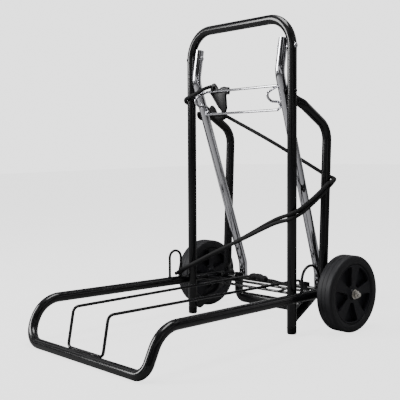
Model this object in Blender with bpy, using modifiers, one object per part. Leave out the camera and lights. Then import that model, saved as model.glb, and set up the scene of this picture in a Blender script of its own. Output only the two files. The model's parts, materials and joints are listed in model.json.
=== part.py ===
"""Folding luggage cart, modelled in metres with +Z up.

The cart stands on its two wheels and on the lip of its platform, so its posts
lean back a little. Everything is modelled upright in the cart's own frame,
with the posts vertical, and the stance empty then tips the whole cart.
"""
import math

import bmesh
import bpy
from mathutils import Matrix, Vector

# Driving dimensions
tube_r = 0.011
wire_r = 0.0033
gap = 0.0004
tube_sides = 4  # bevel_resolution: 12 sides
wire_sides = 2  # bevel_resolution: 8 sides

post_x = 0.168
post_top = 0.717
post_bend = 0.068
foot_h = 0.016

axle_y = 0.1135
axle_z = 0.0885
axle_r = 0.004
axle_end = 0.2740

wheel_r = 0.0885
wheel_w = 0.042
wheel_in = 0.2165
wheel_mid = wheel_in + wheel_w / 2
hub_r = 0.0685
pocket_r = 0.0655
pocket_depth = 0.012
pocket_count = 5
pocket_turn = math.radians(46)

side_x = 0.191  # side tube beside the posts
side_splay = 0.042  # outward run of the side tubes per metre forward
side_z = 0.0865
tail_y = 0.1600
lip_y = -0.462
lip_z = -0.0022
lip_top_y = -0.4190
lip_bend = 0.066
lip_corner_l = 0.052
lip_corner_r = 0.026

stay_top = (0.1400, 0.0030, 0.6710)
stay_knee = (0.1396, -0.0100, 0.5940)
stay_foot = (0.1278, 0.1450, 0.1234)
stay_end = (0.1274, 0.1463, 0.0884)
pivot_z = 0.651

leg_x = 0.1617
leg_plate_x = 0.1545
leg_low = (0.1180, 0.0750)
leg_high = (0.1340, 0.4700)
leg_pin = (0.0, 0.5510)

strut_x = 0.1550
strut_t = 0.003
strut_w = 0.026
strut_foot = (0.0135, 0.0270)

bail_x = 0.121
bail_y = 0.0090
bail_z = 0.5665
bail_r = 0.0027

deck_x = 0.062
deck_tail_x = 0.069
deck_front_y = lip_y + 0.0285
deck_z = 0.0885
deck_tail_z = 0.0967
tail_rod = (0.1463, 0.0787)
tail_rod_r = 0.0032

cord_r = 0.0045
rivet_r = 0.0025  # radius of a rivet's hole
stance_lean = math.radians(-1.31)


def stance_height():
    """Lift that sets the wheels' lowest points on the floor once the cart has leaned back."""
    return wheel_r - (axle_y * math.sin(stance_lean) + axle_z * math.cos(stance_lean))


def stance_middle():
    """Shift along Y that centres the leaned cart between its lip and the backs of its wheels."""
    front = lip_y * math.cos(stance_lean) - lip_z * math.sin(stance_lean) - tube_r
    back = axle_y * math.cos(stance_lean) - axle_z * math.sin(stance_lean) + wheel_r
    return -(front + back) / 2


def clear_scene():
    for obj in list(bpy.data.objects):
        bpy.data.objects.remove(obj, do_unlink=True)
    for group in list(bpy.data.collections):
        bpy.data.collections.remove(group)


clear_scene()
cart = bpy.data.collections.new("luggage_cart")
cutters = bpy.data.collections.new("cutters")
bpy.context.scene.collection.children.link(cart)
bpy.context.scene.collection.children.link(cutters)


def make_material(name, color, roughness, metallic):
    mat = bpy.data.materials.new(name)
    mat.use_nodes = True
    shader = mat.node_tree.nodes["Principled BSDF"]
    shader.inputs["Base Color"].default_value = (*color, 1.0)
    shader.inputs["Roughness"].default_value = roughness
    shader.inputs["Metallic"].default_value = metallic
    return mat


enamel = make_material("black_enamel", (0.012, 0.012, 0.014), 0.22, 0.0)
chrome = make_material("chrome_plate", (0.80, 0.81, 0.83), 0.06, 1.0)
rubber = make_material("tyre_rubber", (0.030, 0.030, 0.033), 0.65, 0.0)
hub_plastic = make_material("hub_plastic", (0.045, 0.046, 0.052), 0.50, 0.0)
hook_plastic = make_material("hook_plastic", (0.035, 0.035, 0.040), 0.45, 0.0)
cap_plastic = make_material("cap_plastic", (0.020, 0.020, 0.022), 0.50, 0.0)
zinc = make_material("zinc_plate", (0.62, 0.60, 0.56), 0.28, 1.0)
cord_cover = make_material("cord_cover", (0.014, 0.014, 0.016), 0.80, 0.0)


def empty_at(name, place, parent=None):
    spot = bpy.data.objects.new(name, None)
    spot.location = place
    spot.parent = parent
    cart.objects.link(spot)
    return spot


stance = empty_at("stance", (0, stance_middle(), stance_height()))
stance.rotation_euler.x = stance_lean
axle_line = empty_at("axle_line", (0, axle_y, axle_z), stance)
pivot_line = empty_at("pivot_line", (0, 0, pivot_z), stance)
bail_line = empty_at("bail_line", (0, bail_y, bail_z - pivot_z), pivot_line)


def settle(obj, mat, home):
    """Puts an object modelled in the cart's frame under its home empty."""
    for group in list(obj.users_collection):
        group.objects.unlink(obj)
    cart.objects.link(obj)
    obj.data.materials.clear()
    obj.data.materials.append(mat)
    offset = Vector((0, 0, 0))
    spot = home
    while spot is not stance:
        offset += spot.location
        spot = spot.parent
    obj.parent = home
    obj.location = Vector(obj.location) - offset
    return obj


def fillet(points, radii, steps=6):
    """Rounds the corners of a polyline with arcs of the given radii."""
    path = [Vector(points[0])]
    for here, before, after, radius in zip(points[1:-1], points, points[2:], radii):
        here = Vector(here)
        back = (Vector(before) - here).normalized()
        ahead = (Vector(after) - here).normalized()
        half = back.angle(ahead) / 2
        reach = radius / math.tan(half)
        centre = here + (back + ahead).normalized() * radius / math.sin(half)
        first = (here + back * reach - centre).normalized()
        last = (here + ahead * reach - centre).normalized()
        for i in range(steps + 1):
            path.append(centre + first.slerp(last, i / steps) * radius)
    path.append(Vector(points[-1]))
    return path


def tube(name, path, radius, sides, closed=False):
    """A round bar along a path, as a welded mesh."""
    data = bpy.data.curves.new(name, "CURVE")
    data.dimensions = "3D"
    data.bevel_depth = radius
    data.bevel_resolution = sides
    data.use_fill_caps = True
    spline = data.splines.new("POLY")
    spline.points.add(len(path) - 1)
    for point, place in zip(spline.points, path):
        point.co = (*place, 1.0)
    spline.use_cyclic_u = closed
    curve = bpy.data.objects.new(name, data)
    cart.objects.link(curve)
    seen = curve.evaluated_get(bpy.context.evaluated_depsgraph_get())
    mesh = bpy.data.meshes.new_from_object(seen)
    obj = bpy.data.objects.new(name, mesh)
    obj.matrix_world = curve.matrix_world
    bpy.data.objects.remove(curve, do_unlink=True)
    obj.name = name
    cart.objects.link(obj)
    weld(obj)
    return obj


def weld(obj):
    mesh = bmesh.new()
    mesh.from_mesh(obj.data)
    bmesh.ops.remove_doubles(mesh, verts=mesh.verts, dist=0.00001)
    bmesh.ops.recalc_face_normals(mesh, faces=mesh.faces)
    mesh.to_mesh(obj.data)
    mesh.free()
    obj.data.shade_smooth()
    obj.data.set_sharp_from_angle(angle=math.radians(40))


def rod(name, radius, x0, x1, y, z, segments=16):
    """A round bar along X."""
    mesh = bmesh.new()
    turn = Matrix.Rotation(math.radians(90), 4, "Y")
    bmesh.ops.create_cone(
        mesh, cap_ends=True, segments=segments, radius1=radius, radius2=radius,
        depth=x1 - x0, matrix=turn)
    return solid(name, mesh, ((x0 + x1) / 2, y, z))


def solid(name, mesh, place=(0, 0, 0)):
    data = bpy.data.meshes.new(name)
    mesh.to_mesh(data)
    mesh.free()
    obj = bpy.data.objects.new(name, data)
    obj.location = place
    cart.objects.link(obj)
    weld(obj)
    return obj


def boolean(obj, other, operation):
    for group in list(other.users_collection):
        group.objects.unlink(other)
    cutters.objects.link(other)
    other.hide_render = True
    other.display_type = "WIRE"
    step = obj.modifiers.new(operation.lower(), "BOOLEAN")
    step.operation = operation
    step.solver = "EXACT"
    step.object = other
    bpy.context.view_layer.update()
    seen = obj.evaluated_get(bpy.context.evaluated_depsgraph_get())
    mesh = bpy.data.meshes.new_from_object(seen)
    obj.modifiers.clear()
    obj.data = mesh
    bpy.data.objects.remove(other, do_unlink=True)
    weld(obj)


def span(side, inner, outer):
    """The stretch of X between two distances from the middle, on one side of the cart."""
    return sorted((side * inner, side * outer))


def bore(obj, radius, x0, x1, y, z):
    boolean(obj, rod("bore", radius + gap, x0, x1, y, z), "DIFFERENCE")


def turned(name, profile, x, y, z, steps=40):
    """A shape turned about an axis along X. The profile holds radius and depth pairs."""
    mesh = bmesh.new()
    points = [mesh.verts.new((radius, 0, depth)) for radius, depth in profile]
    for start, end in zip(points, points[1:]):
        mesh.edges.new((start, end))
    data = bpy.data.meshes.new(name)
    mesh.to_mesh(data)
    mesh.free()
    obj = bpy.data.objects.new(name, data)
    cart.objects.link(obj)
    screw = obj.modifiers.new("turn", "SCREW")
    screw.axis = "Z"
    screw.steps = steps
    screw.render_steps = steps
    screw.use_merge_vertices = True
    screw.merge_threshold = 0.00001
    seen = obj.evaluated_get(bpy.context.evaluated_depsgraph_get())
    full = bpy.data.meshes.new_from_object(seen)
    full.transform(Matrix.Rotation(math.radians(90), 4, "Y"))
    obj.modifiers.clear()
    obj.data = full
    obj.location = (x, y, z)
    weld(obj)
    return obj


def bar_plate(name, start, end, width, thickness, x):
    """A flat bar with round ends, standing in a plane of constant X."""
    mesh = bmesh.new()
    y0, z0 = start
    y1, z1 = end
    heading = math.atan2(z1 - z0, y1 - y0)
    half = width / 2
    outline = []
    for cy, cz, turn in ((y1, z1, heading - math.pi / 2), (y0, z0, heading + math.pi / 2)):
        for i in range(9):
            angle = turn + math.pi * i / 8
            outline.append((0, cy + half * math.cos(angle), cz + half * math.sin(angle)))
    face = mesh.faces.new([mesh.verts.new(place) for place in outline])
    run = bmesh.ops.extrude_face_region(mesh, geom=[face])
    moved = [part for part in run["geom"] if isinstance(part, bmesh.types.BMVert)]
    bmesh.ops.translate(mesh, verts=moved, vec=(thickness, 0, 0))
    return solid(name, mesh, (x - thickness / 2, 0, 0))


def side_line(y):
    """Distance of a side tube's centre from the middle of the cart."""
    return side_x - side_splay * y


def make_front_frame():
    path = fillet(
        [(-post_x, 0, foot_h + gap), (-post_x, 0, post_top), (post_x, 0, post_top),
         (post_x, 0, foot_h + gap)],
        [post_bend, post_bend], steps=10)
    frame = tube("front_frame", path, tube_r, tube_sides)
    for side in (-1, 1):
        bore(frame, rivet_r, *span(side, 0.140, 0.190), 0, pivot_z)
        bore(frame, rivet_r, *span(side, 0.140, 0.190), *leg_pin)
    return settle(frame, enamel, stance)


def make_foot_cap(name, side):
    """A plastic foot: a rounded cup below the post."""
    profile = [(0, foot_h), (tube_r, foot_h), (tube_r, 0.002), (tube_r - 0.002, 0), (0, 0)]
    cap = turned(name, profile, 0, 0, 0, steps=20)
    cap.data.transform(Matrix.Rotation(math.radians(-90), 4, "Y"))
    cap.location = (side * post_x, 0, 0)
    return settle(cap, cap_plastic, stance)


def squash(obj, side):
    """Presses a leg's two ends flat, as a tube is pressed for its rivet and for the axle."""
    for vert in obj.data.vertices:
        y, z = vert.co.y, vert.co.z
        top = min(max((0.052 - y) / 0.022, 0), 1) if z > 0.4 else 0
        low = min(max((0.125 - z) / 0.018, 0), 1)
        flat = max(top, low)
        centre = leg_x + (leg_plate_x - leg_x) * top
        reach = (vert.co.x * side - leg_x) * (1 - 0.80 * flat)
        vert.co.x = side * (centre + reach)


def make_rear_leg(name, side):
    y0, z0 = leg_low
    y1, z1 = leg_high
    y2, z2 = leg_pin
    slope = (z2 - z1) / (y2 - y1)
    front_y = -0.006
    corners = fillet(
        [(side * leg_x, y0, z0), (side * leg_x, y1, z1),
         (side * leg_x, front_y, z2 + slope * (front_y - y2))],
        [0.050], steps=7)
    low = [corners[0].lerp(corners[1], t) for t in (0, 0.08, 0.13, 0.18)]
    end_run = [corners[-2].lerp(corners[-1], t) for t in (0.12, 0.26, 0.40, 0.50, 0.58, 0.66, 0.74, 1.0)]
    leg = tube(name, low + corners[1:-1] + end_run, tube_r, tube_sides)
    squash(leg, side)
    bore(leg, rivet_r, *span(side, 0.145, 0.164), *leg_pin)
    bore(leg, axle_r, *span(side, 0.145, 0.178), axle_y, axle_z)
    return settle(leg, enamel, stance)


def make_rivet(name, head_r, ends, y, z, mat):
    """A rivet along X: a thin shank with a domed head at each end."""
    x0, x1 = ends
    shank = rivet_r - gap / 2
    head = head_r * 0.30
    profile = [(0, x1 + head)]
    for i in range(1, 4):
        angle = math.pi / 2 * i / 3
        profile.append((head_r * math.sin(angle), x1 + head * math.cos(angle)))
    profile += [(shank, x1), (shank, x0)]
    for i in range(3, 0, -1):
        angle = math.pi / 2 * i / 3
        profile.append((head_r * math.sin(angle), x0 - head * math.cos(angle)))
    profile.append((0, x0 - head))
    return settle(turned(name, profile, 0, y, z, steps=12), mat, stance)


def make_strut(name, side):
    strut = bar_plate(name, strut_foot, (axle_y, axle_z), strut_w, strut_t, side * strut_x)
    bore(strut, axle_r, *span(side, 0.150, 0.160), axle_y, axle_z)
    return settle(strut, enamel, stance)


def make_cross_stand():
    """A flattened tube bent to a U that hangs from the axle and ties the frame's foot."""
    arm_x, low_z, centre_y = 0.112, 0.038, axle_y
    path = fillet(
        [(-arm_x, centre_y, axle_z + 0.012), (-arm_x, centre_y, low_z),
         (arm_x, centre_y, low_z), (arm_x, centre_y, axle_z + 0.012)],
        [0.018, 0.018], steps=6)
    stand = tube("cross_stand", path, 0.014, tube_sides)
    for vert in stand.data.vertices:
        vert.co.y = centre_y + (vert.co.y - centre_y) * 0.45
    for side in (-1, 1):
        bore(stand, axle_r, *span(side, 0.090, 0.135), axle_y, axle_z)
    return settle(stand, enamel, axle_line)


def make_axle():
    axle = rod("axle", axle_r, -axle_end, axle_end, axle_y, axle_z, segments=20)
    return settle(axle, zinc, stance)


def ring(name, outer, inner, x0, x1, mat, home):
    profile = [(inner, x1), (outer, x1), (outer, x0), (inner, x0), (inner, x1)]
    return settle(turned(name, profile, 0, axle_y, axle_z, steps=20), mat, home)


def make_spacers(side, word):
    pieces = (("axle_bush_" + word, 0.0070, 0.1655, 0.1738, cap_plastic),
              ("axle_spacer_" + word, 0.0075, 0.1990, 0.2118, cap_plastic))
    for name, outer, x0, x1, mat in pieces:
        ring(name, outer, axle_r + gap, *span(side, x0, x1), mat, stance)


def make_stay(name, side):
    """A chromed stay: an open-topped tube with a knee near its top and a short upright foot."""
    mirror = [(side * x, y, z) for x, y, z in (stay_top, stay_knee, stay_foot, stay_end)]
    stay = tube(name, fillet(mirror, [0.060, 0.030], steps=5), tube_r, tube_sides)
    hollow = tube("hollow", [Vector(mirror[0]) + (Vector(mirror[0]) - Vector(mirror[1])) * 0.2,
                             Vector(mirror[0]).lerp(Vector(mirror[1]), 0.14)], tube_r - 0.0015, 3)
    boolean(stay, hollow, "DIFFERENCE")
    x = side * stay_top[0]
    bore(stay, rivet_r, *sorted((x - side * 0.02, x + side * 0.02)), 0, pivot_z)
    bore(stay, bail_r, *span(side, 0.118, 0.1395), bail_y, bail_z)
    return settle(stay, chrome, pivot_line)


def make_stay_shoe(name, side):
    """A plastic shoe under each stay, which bears on the tail rod."""
    x, y, z = stay_end
    profile = [(0, -3 * gap), (tube_r, -3 * gap), (tube_r, -0.0045), (tube_r - 0.002, -0.006), (0, -0.006)]
    shoe = turned(name, profile, 0, 0, 0, steps=20)
    shoe.data.transform(Matrix.Rotation(math.radians(-90), 4, "Y"))
    shoe.location = (side * x, y, z)
    return settle(shoe, cap_plastic, pivot_line)


def make_bail():
    """The chromed latch wire: two cross wires joined by a hook-shaped bend at each end."""
    low_y, low_z = 0.0050, 0.5105
    half = []
    for place in ((bail_y, bail_z), (-0.0130, 0.5570), (-0.0400, 0.5430), (-0.0160, 0.5290),
                  (0.0080, 0.5290), (0.0165, 0.5190), (low_y, low_z)):
        half.append((bail_x, *place))
    right = fillet(half, [0.020, 0.0095, 0.012, 0.006, 0.005], steps=4)
    left = [Vector((-spot.x, spot.y, spot.z)) for spot in reversed(right)]
    wire = tube("latch_bail", right + left, bail_r, wire_sides, closed=True)
    for side, word in ((-1, "l"), (1, "r")):
        pin = rod("pin", bail_r * 0.9, *span(side, bail_x - 0.001, 0.1385), bail_y, bail_z, 8)
        boolean(wire, pin, "UNION")
    return settle(wire, chrome, bail_line)


def make_platform():
    tail_z = side_z + 0.0010
    right = [(side_line(tail_y), tail_y, tail_z),
             (side_line(lip_top_y), lip_top_y, side_z - 0.0022),
             (side_line(lip_y), lip_y, lip_z)]
    left = [(-x, y, z) for x, y, z in reversed(right)]
    path = fillet(right + left, [lip_bend, lip_corner_r, lip_corner_l, lip_bend], steps=7)
    frame = tube("platform_tube", path, tube_r, tube_sides)
    for side in (-1, 1):
        bore(frame, axle_r, *span(side, 0.165, 0.205), axle_y, axle_z)
    return settle(frame, enamel, axle_line)


def deck_height(y):
    """Height of the deck wire's centre, which rises a little to clear the axle."""
    return deck_z + (deck_tail_z - deck_z) * (y - deck_front_y) / (tail_rod[0] - deck_front_y)


def make_deck_wire():
    """One wire bent to a long U: along the lip, up its drop and back to the tail rod."""
    off_y, off_z = 0.0130, 0.0082
    low = (lip_y + off_y, lip_z + off_z)
    tail_y, rod_z = tail_rod
    right = [(deck_tail_x, tail_y, rod_z + tail_rod_r + gap), (deck_tail_x, tail_y, deck_tail_z),
             (deck_x, deck_front_y, deck_z), (deck_x, *low)]
    left = [(-x, y, z) for x, y, z in reversed(right)]
    path = fillet(right + left, [0.008, 0.014, 0.010, 0.010, 0.014, 0.008], steps=4)
    return settle(tube("deck_wire", path, wire_r, wire_sides), enamel, axle_line)


def make_cross_wires():
    """Cross wires below the deck wire, from side tube to side tube."""
    for word, y in (("front", 0.021), ("middle", 0.066)):
        wire_z = deck_height(y) - 2 * wire_r - gap
        reach = side_line(y) - tube_r - 0.0008
        wire = rod("cross_wire_" + word, wire_r, -reach, reach, y, wire_z, 8)
        settle(wire, enamel, axle_line)


def make_tail_rod():
    y, z = tail_rod
    reach = side_line(y) - tube_r - 0.0006
    return settle(rod("tail_rod", tail_rod_r, -reach, reach, y, z, 12), enamel, axle_line)


def make_cord_loop(name, side, front, back, top):
    """An upright wire loop on a side tube, for the cord's hooks."""
    foot = side_z + tube_r + 3 * gap
    x0, x1 = side * side_line(front), side * side_line(back)
    radius = (back - front) / 2 - 0.0002
    path = fillet([(x0, front, foot), (x0, front, top), (x1, back, top), (x1, back, foot)],
                  [radius, radius], steps=6)
    return settle(tube(name, path, wire_r, wire_sides), enamel, axle_line)


def pocket_cutter(turn, x0, x1):
    """A wedge between two spokes, with an arc at its rim."""
    mesh = bmesh.new()
    inner, half_in, half_out = 0.0200, math.radians(14), math.radians(22)
    outline = [(inner, -half_in), (pocket_r * 0.93, -half_out * 1.02), (pocket_r, -half_out * 0.85)]
    outline += [(pocket_r, 0), (pocket_r, half_out * 0.85), (pocket_r * 0.93, half_out * 1.02),
                (inner, half_in)]
    points = []
    for radius, angle in outline:
        points.append(mesh.verts.new((0, radius * math.cos(turn + angle), radius * math.sin(turn + angle))))
    face = mesh.faces.new(points)
    run = bmesh.ops.extrude_face_region(mesh, geom=[face])
    moved = [part for part in run["geom"] if isinstance(part, bmesh.types.BMVert)]
    bmesh.ops.translate(mesh, verts=moved, vec=(x1 - x0, 0, 0))
    return solid("pocket", mesh, (x0, axle_y, axle_z))


def make_hub(name, side):
    """A moulded hub: a disc with five pockets in each face and a longer boss at its middle."""
    half = wheel_w / 2
    boss = 0.0130
    bore_r = axle_r + gap
    profile = [(bore_r, half), (boss, half), (boss, half - 0.004), (hub_r, half - 0.004),
               (hub_r, -half + 0.004), (boss, -half + 0.004), (boss, -half), (bore_r, -half),
               (bore_r, half)]
    hub = turned(name, profile, side * wheel_mid, axle_y, axle_z)
    for i in range(pocket_count):
        turn = pocket_turn + math.tau * i / pocket_count
        face = half - 0.004
        for x0, x1 in ((face - pocket_depth, face + 0.004), (-face - 0.004, -face + pocket_depth)):
            boolean(hub, pocket_cutter(turn, side * wheel_mid + x0, side * wheel_mid + x1), "DIFFERENCE")
    return settle(hub, hub_plastic, stance)


def make_tyre(name, side):
    half = wheel_w / 2
    inner = hub_r + gap
    shoulder = 0.006
    profile = [(inner, half - 0.003), (inner + 0.004, half), (wheel_r - shoulder, half)]
    for i in range(1, 4):
        angle = math.pi / 2 * i / 3
        profile.append((wheel_r - shoulder + shoulder * math.sin(angle) * 0.97,
                        half - shoulder + shoulder * math.cos(angle)))
    profile.append((wheel_r, 0))
    profile += [(radius, -depth) for radius, depth in reversed(profile[:-1])]
    profile.append(profile[0])
    return settle(turned(name, profile, side * wheel_mid, axle_y, axle_z), rubber, stance)


def make_nut_set(side, word):
    face = wheel_in + wheel_w
    ring("axle_washer_" + word, 0.0110, axle_r + gap,
         *span(side, face + 0.0003, face + 0.0020), zinc, stance)
    mesh = bmesh.new()
    bmesh.ops.create_cone(mesh, cap_ends=True, segments=6, radius1=0.0095, radius2=0.0095,
                          depth=0.0068, matrix=Matrix.Rotation(math.radians(90), 4, "Y"))
    nut = solid("axle_nut_" + word, mesh, (side * (face + 0.0023 + 0.0034), axle_y, axle_z))
    bore(nut, axle_r, *span(side, face - 0.002, face + 0.012), axle_y, axle_z)
    return settle(nut, zinc, stance)


def smooth_route(points, steps):
    """Points along a smooth curve through a hand-chosen route."""
    points = [Vector(place) for place in points]
    padded = [points[0] * 2 - points[1]] + points + [points[-1] * 2 - points[-2]]
    path = []
    for a, b, c, d in zip(padded, padded[1:], padded[2:], padded[3:]):
        count = max(1, round((c - b).length / steps))
        for i in range(count):
            t = i / count
            path.append(0.5 * (2 * b + (c - a) * t + (2 * a - 5 * b + 4 * c - d) * t * t
                               + (3 * b - a - 3 * c + d) * t ** 3))
    path.append(points[-1])
    return path


# The cord's route, in the cart's frame: from the plastic hook round the left post, across
# to the right rear leg, round it, and back in front of both posts to the left loop.
wrap_route = [
    (-0.1010, 0.0070, 0.5800), (-0.1130, -0.0060, 0.5740), (-0.1290, -0.0170, 0.5640),
    (-0.1500, -0.0190, 0.5570), (-0.1700, -0.0175, 0.5515), (-0.1855, -0.0040, 0.5450),
    (-0.1850, 0.0090, 0.5400)]
upper_route = [
    (-0.0860, 0.0245, 0.5130), (0.0260, 0.0633, 0.4505), (0.0880, 0.1017, 0.4065),
    (0.1440, 0.1363, 0.3655), (0.1560, 0.1455, 0.3570), (0.1680, 0.1475, 0.3530),
    (0.1780, 0.1420, 0.3500), (0.1812, 0.1325, 0.3470)]
lower_route = [
    (0.1800, 0.1180, 0.3370), (0.1880, 0.0600, 0.3080), (0.1900, 0.0040, 0.2810),
    (0.1780, -0.0195, 0.2690), (0.1300, -0.0205, 0.2540), (0.0400, -0.0210, 0.2135),
    (-0.0600, -0.0210, 0.1690), (-0.1300, -0.0215, 0.1375), (-0.1720, -0.0245, 0.1190),
    (-0.1860, -0.0310, 0.1075), (-0.1915, -0.0340, 0.1045)]
strand_gap = 0.0053


def strand_route(lift):
    """One of the two lower strands: above the other at the right, beside it from the middle on."""
    route = []
    for i, (x, y, z) in enumerate(lower_route):
        turn = math.radians(90) * min(max((i - 3) / 3, 0), 1)
        route.append((x, y + lift * math.sin(turn), z + lift * math.cos(turn)))
    return route


def make_cords():
    wrap = tube("cord_wrap", smooth_route(wrap_route, 0.012), cord_r, wire_sides)
    settle(wrap, cord_cover, stance)
    upper = tube("cord_upper", smooth_route(upper_route, 0.020), cord_r, wire_sides)
    settle(upper, cord_cover, stance)
    for word, lift in (("a", strand_gap), ("b", -strand_gap)):
        lower = tube("cord_lower_" + word, smooth_route(strand_route(lift), 0.022), cord_r, wire_sides)
        settle(lower, cord_cover, stance)


def make_plastic_hook():
    """A flat moulded hook that hangs behind the latch wire, with its nose over the wire."""
    mesh = bmesh.new()
    outline = [
        (-0.1180, 0.5650), (-0.1120, 0.5760), (-0.1080, 0.5870), (-0.0990, 0.5885), (-0.0925, 0.5820),
        (-0.0850, 0.5715), (-0.0760, 0.5765), (-0.0640, 0.5780), (-0.0535, 0.5725), (-0.0530, 0.5620),
        (-0.0590, 0.5560), (-0.0575, 0.5400), (-0.0560, 0.5240), (-0.0600, 0.5140), (-0.0700, 0.5120),
        (-0.0790, 0.5210), (-0.0890, 0.5370), (-0.1030, 0.5530)]
    face = mesh.faces.new([mesh.verts.new((x, 0, z)) for x, z in outline])
    run = bmesh.ops.extrude_face_region(mesh, geom=[face])
    moved = [part for part in run["geom"] if isinstance(part, bmesh.types.BMVert)]
    bmesh.ops.translate(mesh, verts=moved, vec=(0, 0.0070, 0))
    hook = solid("cord_hook", mesh, (0, 0.0125, 0))
    return settle(hook, hook_plastic, pivot_line)


def make_wire_hook():
    """The cord's spare end on the deck: a knot, a ferrule and a bent wire hook."""
    knot_y, knot_z = 0.0860, 0.1005
    knot = tube("cord_knot", smooth_route(
        [(-0.044, knot_y - 0.001, knot_z), (-0.020, knot_y + 0.002, knot_z + 0.001),
         (0.002, knot_y - 0.003, knot_z), (0.020, knot_y - 0.010, knot_z - 0.001)], 0.012),
        0.0085, wire_sides)
    settle(knot, cord_cover, axle_line)
    hook = tube("wire_hook", smooth_route(
        [(0.0230, 0.0750, 0.1000), (0.0450, 0.0640, 0.1035), (0.0670, 0.0560, 0.1045),
         (0.1033, 0.0504, 0.1015), (0.1200, 0.0457, 0.0985), (0.1274, 0.0318, 0.0965),
         (0.1327, 0.0100, 0.0955), (0.1399, -0.0119, 0.0955)], 0.008),
        0.0024, wire_sides)
    settle(hook, enamel, axle_line)


make_front_frame()
make_cross_stand()
make_axle()
for side, word in ((-1, "l"), (1, "r")):
    make_foot_cap("foot_cap_" + word, side)
    make_rear_leg("rear_leg_" + word, side)
    make_strut("strut_" + word, side)
    make_rivet("pivot_rivet_" + word, 0.0055, span(side, 0.1284, 0.1795), 0, pivot_z, chrome)
    make_rivet("leg_rivet_" + word, 0.0042, span(side, 0.1520, 0.1795), *leg_pin, enamel)
    make_spacers(side, word)
    make_stay("stay_" + word, side)
    make_stay_shoe("stay_shoe_" + word, side)
    make_hub("wheel_hub_" + word, side)
    make_tyre("tyre_" + word, side)
    make_nut_set(side, word)
make_bail()
make_platform()
make_deck_wire()
make_cross_wires()
make_tail_rod()
make_cord_loop("cord_loop_l", -1, -0.0560, -0.0198, 0.1640)
make_cord_loop("cord_loop_r", 1, 0.0080, 0.0720, 0.1550)
make_cords()
make_plastic_hook()
make_wire_hook()
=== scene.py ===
import json
import math

import bmesh
import bpy
from mathutils import Matrix, Vector, noise


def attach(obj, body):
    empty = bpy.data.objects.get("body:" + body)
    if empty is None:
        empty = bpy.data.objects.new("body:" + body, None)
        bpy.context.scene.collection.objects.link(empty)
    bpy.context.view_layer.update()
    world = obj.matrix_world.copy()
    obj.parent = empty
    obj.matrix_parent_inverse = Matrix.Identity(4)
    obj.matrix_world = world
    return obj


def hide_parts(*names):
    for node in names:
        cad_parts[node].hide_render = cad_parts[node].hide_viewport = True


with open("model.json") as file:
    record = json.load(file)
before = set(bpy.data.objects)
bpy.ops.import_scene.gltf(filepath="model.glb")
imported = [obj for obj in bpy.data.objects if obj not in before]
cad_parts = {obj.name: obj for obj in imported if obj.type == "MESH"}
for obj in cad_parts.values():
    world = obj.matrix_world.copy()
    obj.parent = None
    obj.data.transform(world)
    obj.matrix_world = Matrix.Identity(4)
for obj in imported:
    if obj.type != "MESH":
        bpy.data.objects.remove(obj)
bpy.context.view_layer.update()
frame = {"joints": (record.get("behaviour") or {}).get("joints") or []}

# The cart is modelled upright, posts on Y = 0, then leaned back onto its wheels and lip.
cart = dict(lean=-1.31, axle=(0.0, 0.1135, 0.0885), tubeR=0.011, wireR=0.0033, axleR=0.004)
joints = {joint["name"]: joint for joint in frame["joints"]}
axleSpot = Vector(joints["platform_fold"]["pos_m"])
stand = (Matrix.Translation(axleSpot) @ Matrix.Rotation(math.radians(cart["lean"]), 4, "X")
         @ Matrix.Translation(-Vector(cart["axle"])))
sides = ((-1, "l"), (1, "r"))


# materials

class Tap:
    # a node's output that takes part in Python sums
    def __init__(self, finish, out):
        self.finish = finish
        self.out = out

    def calc(self, kind, *values):
        return self.finish.node("ShaderNodeMath", {"operation": kind}, values)

    def __add__(self, other):
        return self.calc("ADD", self, other)

    def __radd__(self, other):
        return self.calc("ADD", other, self)

    def __sub__(self, other):
        return self.calc("SUBTRACT", self, other)

    def __rsub__(self, other):
        return self.calc("SUBTRACT", other, self)

    def __mul__(self, other):
        return self.calc("MULTIPLY", self, other)

    def __rmul__(self, other):
        return self.calc("MULTIPLY", other, self)

    def __truediv__(self, other):
        return self.calc("DIVIDE", self, other)

    def __pow__(self, other):
        return self.calc("POWER", self, other)

    def between(self, low, high):
        # 0 below low, 1 above high, smooth between
        return self.finish.node("ShaderNodeMapRange", {"interpolation_type": "SMOOTHSTEP"},
                                (self, low, high, 0.0, 1.0))


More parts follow.
